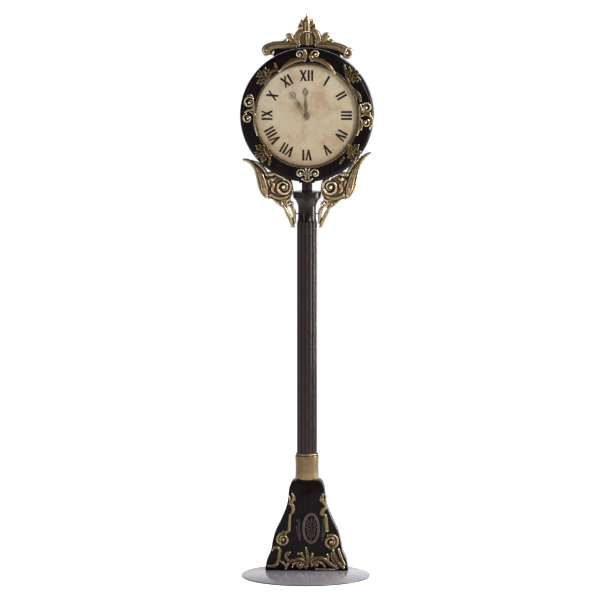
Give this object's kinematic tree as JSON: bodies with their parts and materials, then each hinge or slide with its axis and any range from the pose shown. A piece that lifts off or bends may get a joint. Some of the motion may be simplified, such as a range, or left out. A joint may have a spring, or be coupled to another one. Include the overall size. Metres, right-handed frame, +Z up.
{
  "type": "street clock",
  "caption": "Street clock: round dial in a gilt-trimmed drum head on a fluted column, flared shallow pedestal and round steel ground plate.",
  "frame": {"origin": "centre of the round ground plate's underside", "axes": "+Z up the column; the dial faces -Y; +X is to the right of someone facing the dial"},
  "size_m": [0.7992, 0.768, 3.341],
  "materials": {
    "black_enamel": "gloss, slightly uneven brush-coated",
    "antique_gilt": "antique gold, dark in the recesses",
    "cream_dial": "matt cream with warm mottling",
    "ground_plate": "satin, near mirror",
    "clock_brass": "brushed",
    "hand_brass": "olive brass, dulled",
    "zinc_steel": "zinc plated",
    "battery_wrap": "satin sleeve",
    "dark_plastic": "fine-grained"
  },
  "bodies": {
    "clock_stand": {"base_plate": "ground_plate", "battery_cell": "battery_wrap", "battery_holder": "dark_plastic", "bezel": "antique_gilt", "bottom_curls": "antique_gilt", "bracket_bolt_left": "antique_gilt", "bracket_bolt_right": "antique_gilt", "bracket_left": "antique_gilt", "bracket_right": "antique_gilt", "capital": "black_enamel", "collar": "antique_gilt", "column_shaft": "black_enamel", "core_post": "black_enamel", "crest": "antique_gilt", "dial": "cream_dial", "dial_retainer_ring": "zinc_steel", "flange_bolt_1": "zinc_steel", "flange_bolt_2": "zinc_steel", "flange_bolt_3": "zinc_steel", "flange_bolt_4": "zinc_steel", "head_back_ring": "black_enamel", "head_case": "black_enamel", "head_clamp_plate": "zinc_steel", "head_saddle": "black_enamel", "hinge_leaf_case": "black_enamel", "hinge_pin": "zinc_steel", "leaf_lower_left": "antique_gilt", "leaf_lower_right": "antique_gilt", "leaf_upper_left": "antique_gilt", "leaf_upper_right": "antique_gilt", "motion_stud": "zinc_steel", "motor_case": "dark_plastic", "movement_front_plate": "clock_brass", "movement_pillar_1": "clock_brass", "movement_pillar_2": "clock_brass", "movement_pillar_3": "clock_brass", "movement_pillar_4": "clock_brass", "movement_rear_plate": "clock_brass", "pedestal_foot_leaf": "antique_gilt", "pedestal_screw_left": "zinc_steel", "pedestal_screw_right": "zinc_steel", "pedestal_scroll_left": "antique_gilt", "pedestal_scroll_right": "antique_gilt", "pedestal_shell": "black_enamel", "post_locknut": "zinc_steel", "side_scroll_left": "antique_gilt", "side_scroll_right": "antique_gilt", "top_curls": "antique_gilt"},
    "minute_arbor": {"centre_arbor": "zinc_steel", "cannon_pinion": "clock_brass", "minute_hand": "hand_brass", "hand_nut": "hand_brass", "setting_knob": "dark_plastic"},
    "minute_wheel_set": {"minute_wheel": "clock_brass"},
    "hour_set": {"hour_wheel": "clock_brass", "hour_pipe": "clock_brass", "hour_hand": "hand_brass"},
    "rear_door": {"back_door": "black_enamel", "hinge_leaf_door": "black_enamel"},
    "latch": {"door_latch": "zinc_steel"}
  },
  "joints": [
    {"name": "minute_hand_turn", "type": "hinge", "parent": "clock_stand", "child": "minute_arbor", "pos_m": [0, 0.205, 2.735], "axis": [0, 1, 0], "continuous": true},
    {"name": "minute_wheel_turn", "type": "hinge", "parent": "clock_stand", "child": "minute_wheel_set", "pos_m": [0, 0.205, 2.675], "axis": [0, 1, 0], "continuous": true},
    {"name": "hour_hand_turn", "type": "hinge", "parent": "clock_stand", "child": "hour_set", "pos_m": [0, 0.205, 2.735], "axis": [0, 1, 0], "continuous": true},
    {"name": "back_door_hinge", "type": "hinge", "parent": "clock_stand", "child": "rear_door", "pos_m": [0.349, 0.2898, 2.735], "axis": [0, 0, -1], "range_deg": [0, 110]},
    {"name": "door_latch_turn", "type": "hinge", "parent": "rear_door", "child": "latch", "pos_m": [-0.296, 0.283, 2.735], "axis": [0, -1, 0], "range_deg": [0, 90]}
  ],
  "couplings": [
    {"joint": "minute_wheel_turn", "follows": "minute_hand_turn", "ratio": -0.33333},
    {"joint": "hour_hand_turn", "follows": "minute_hand_turn", "ratio": 0.083333}
  ]
}
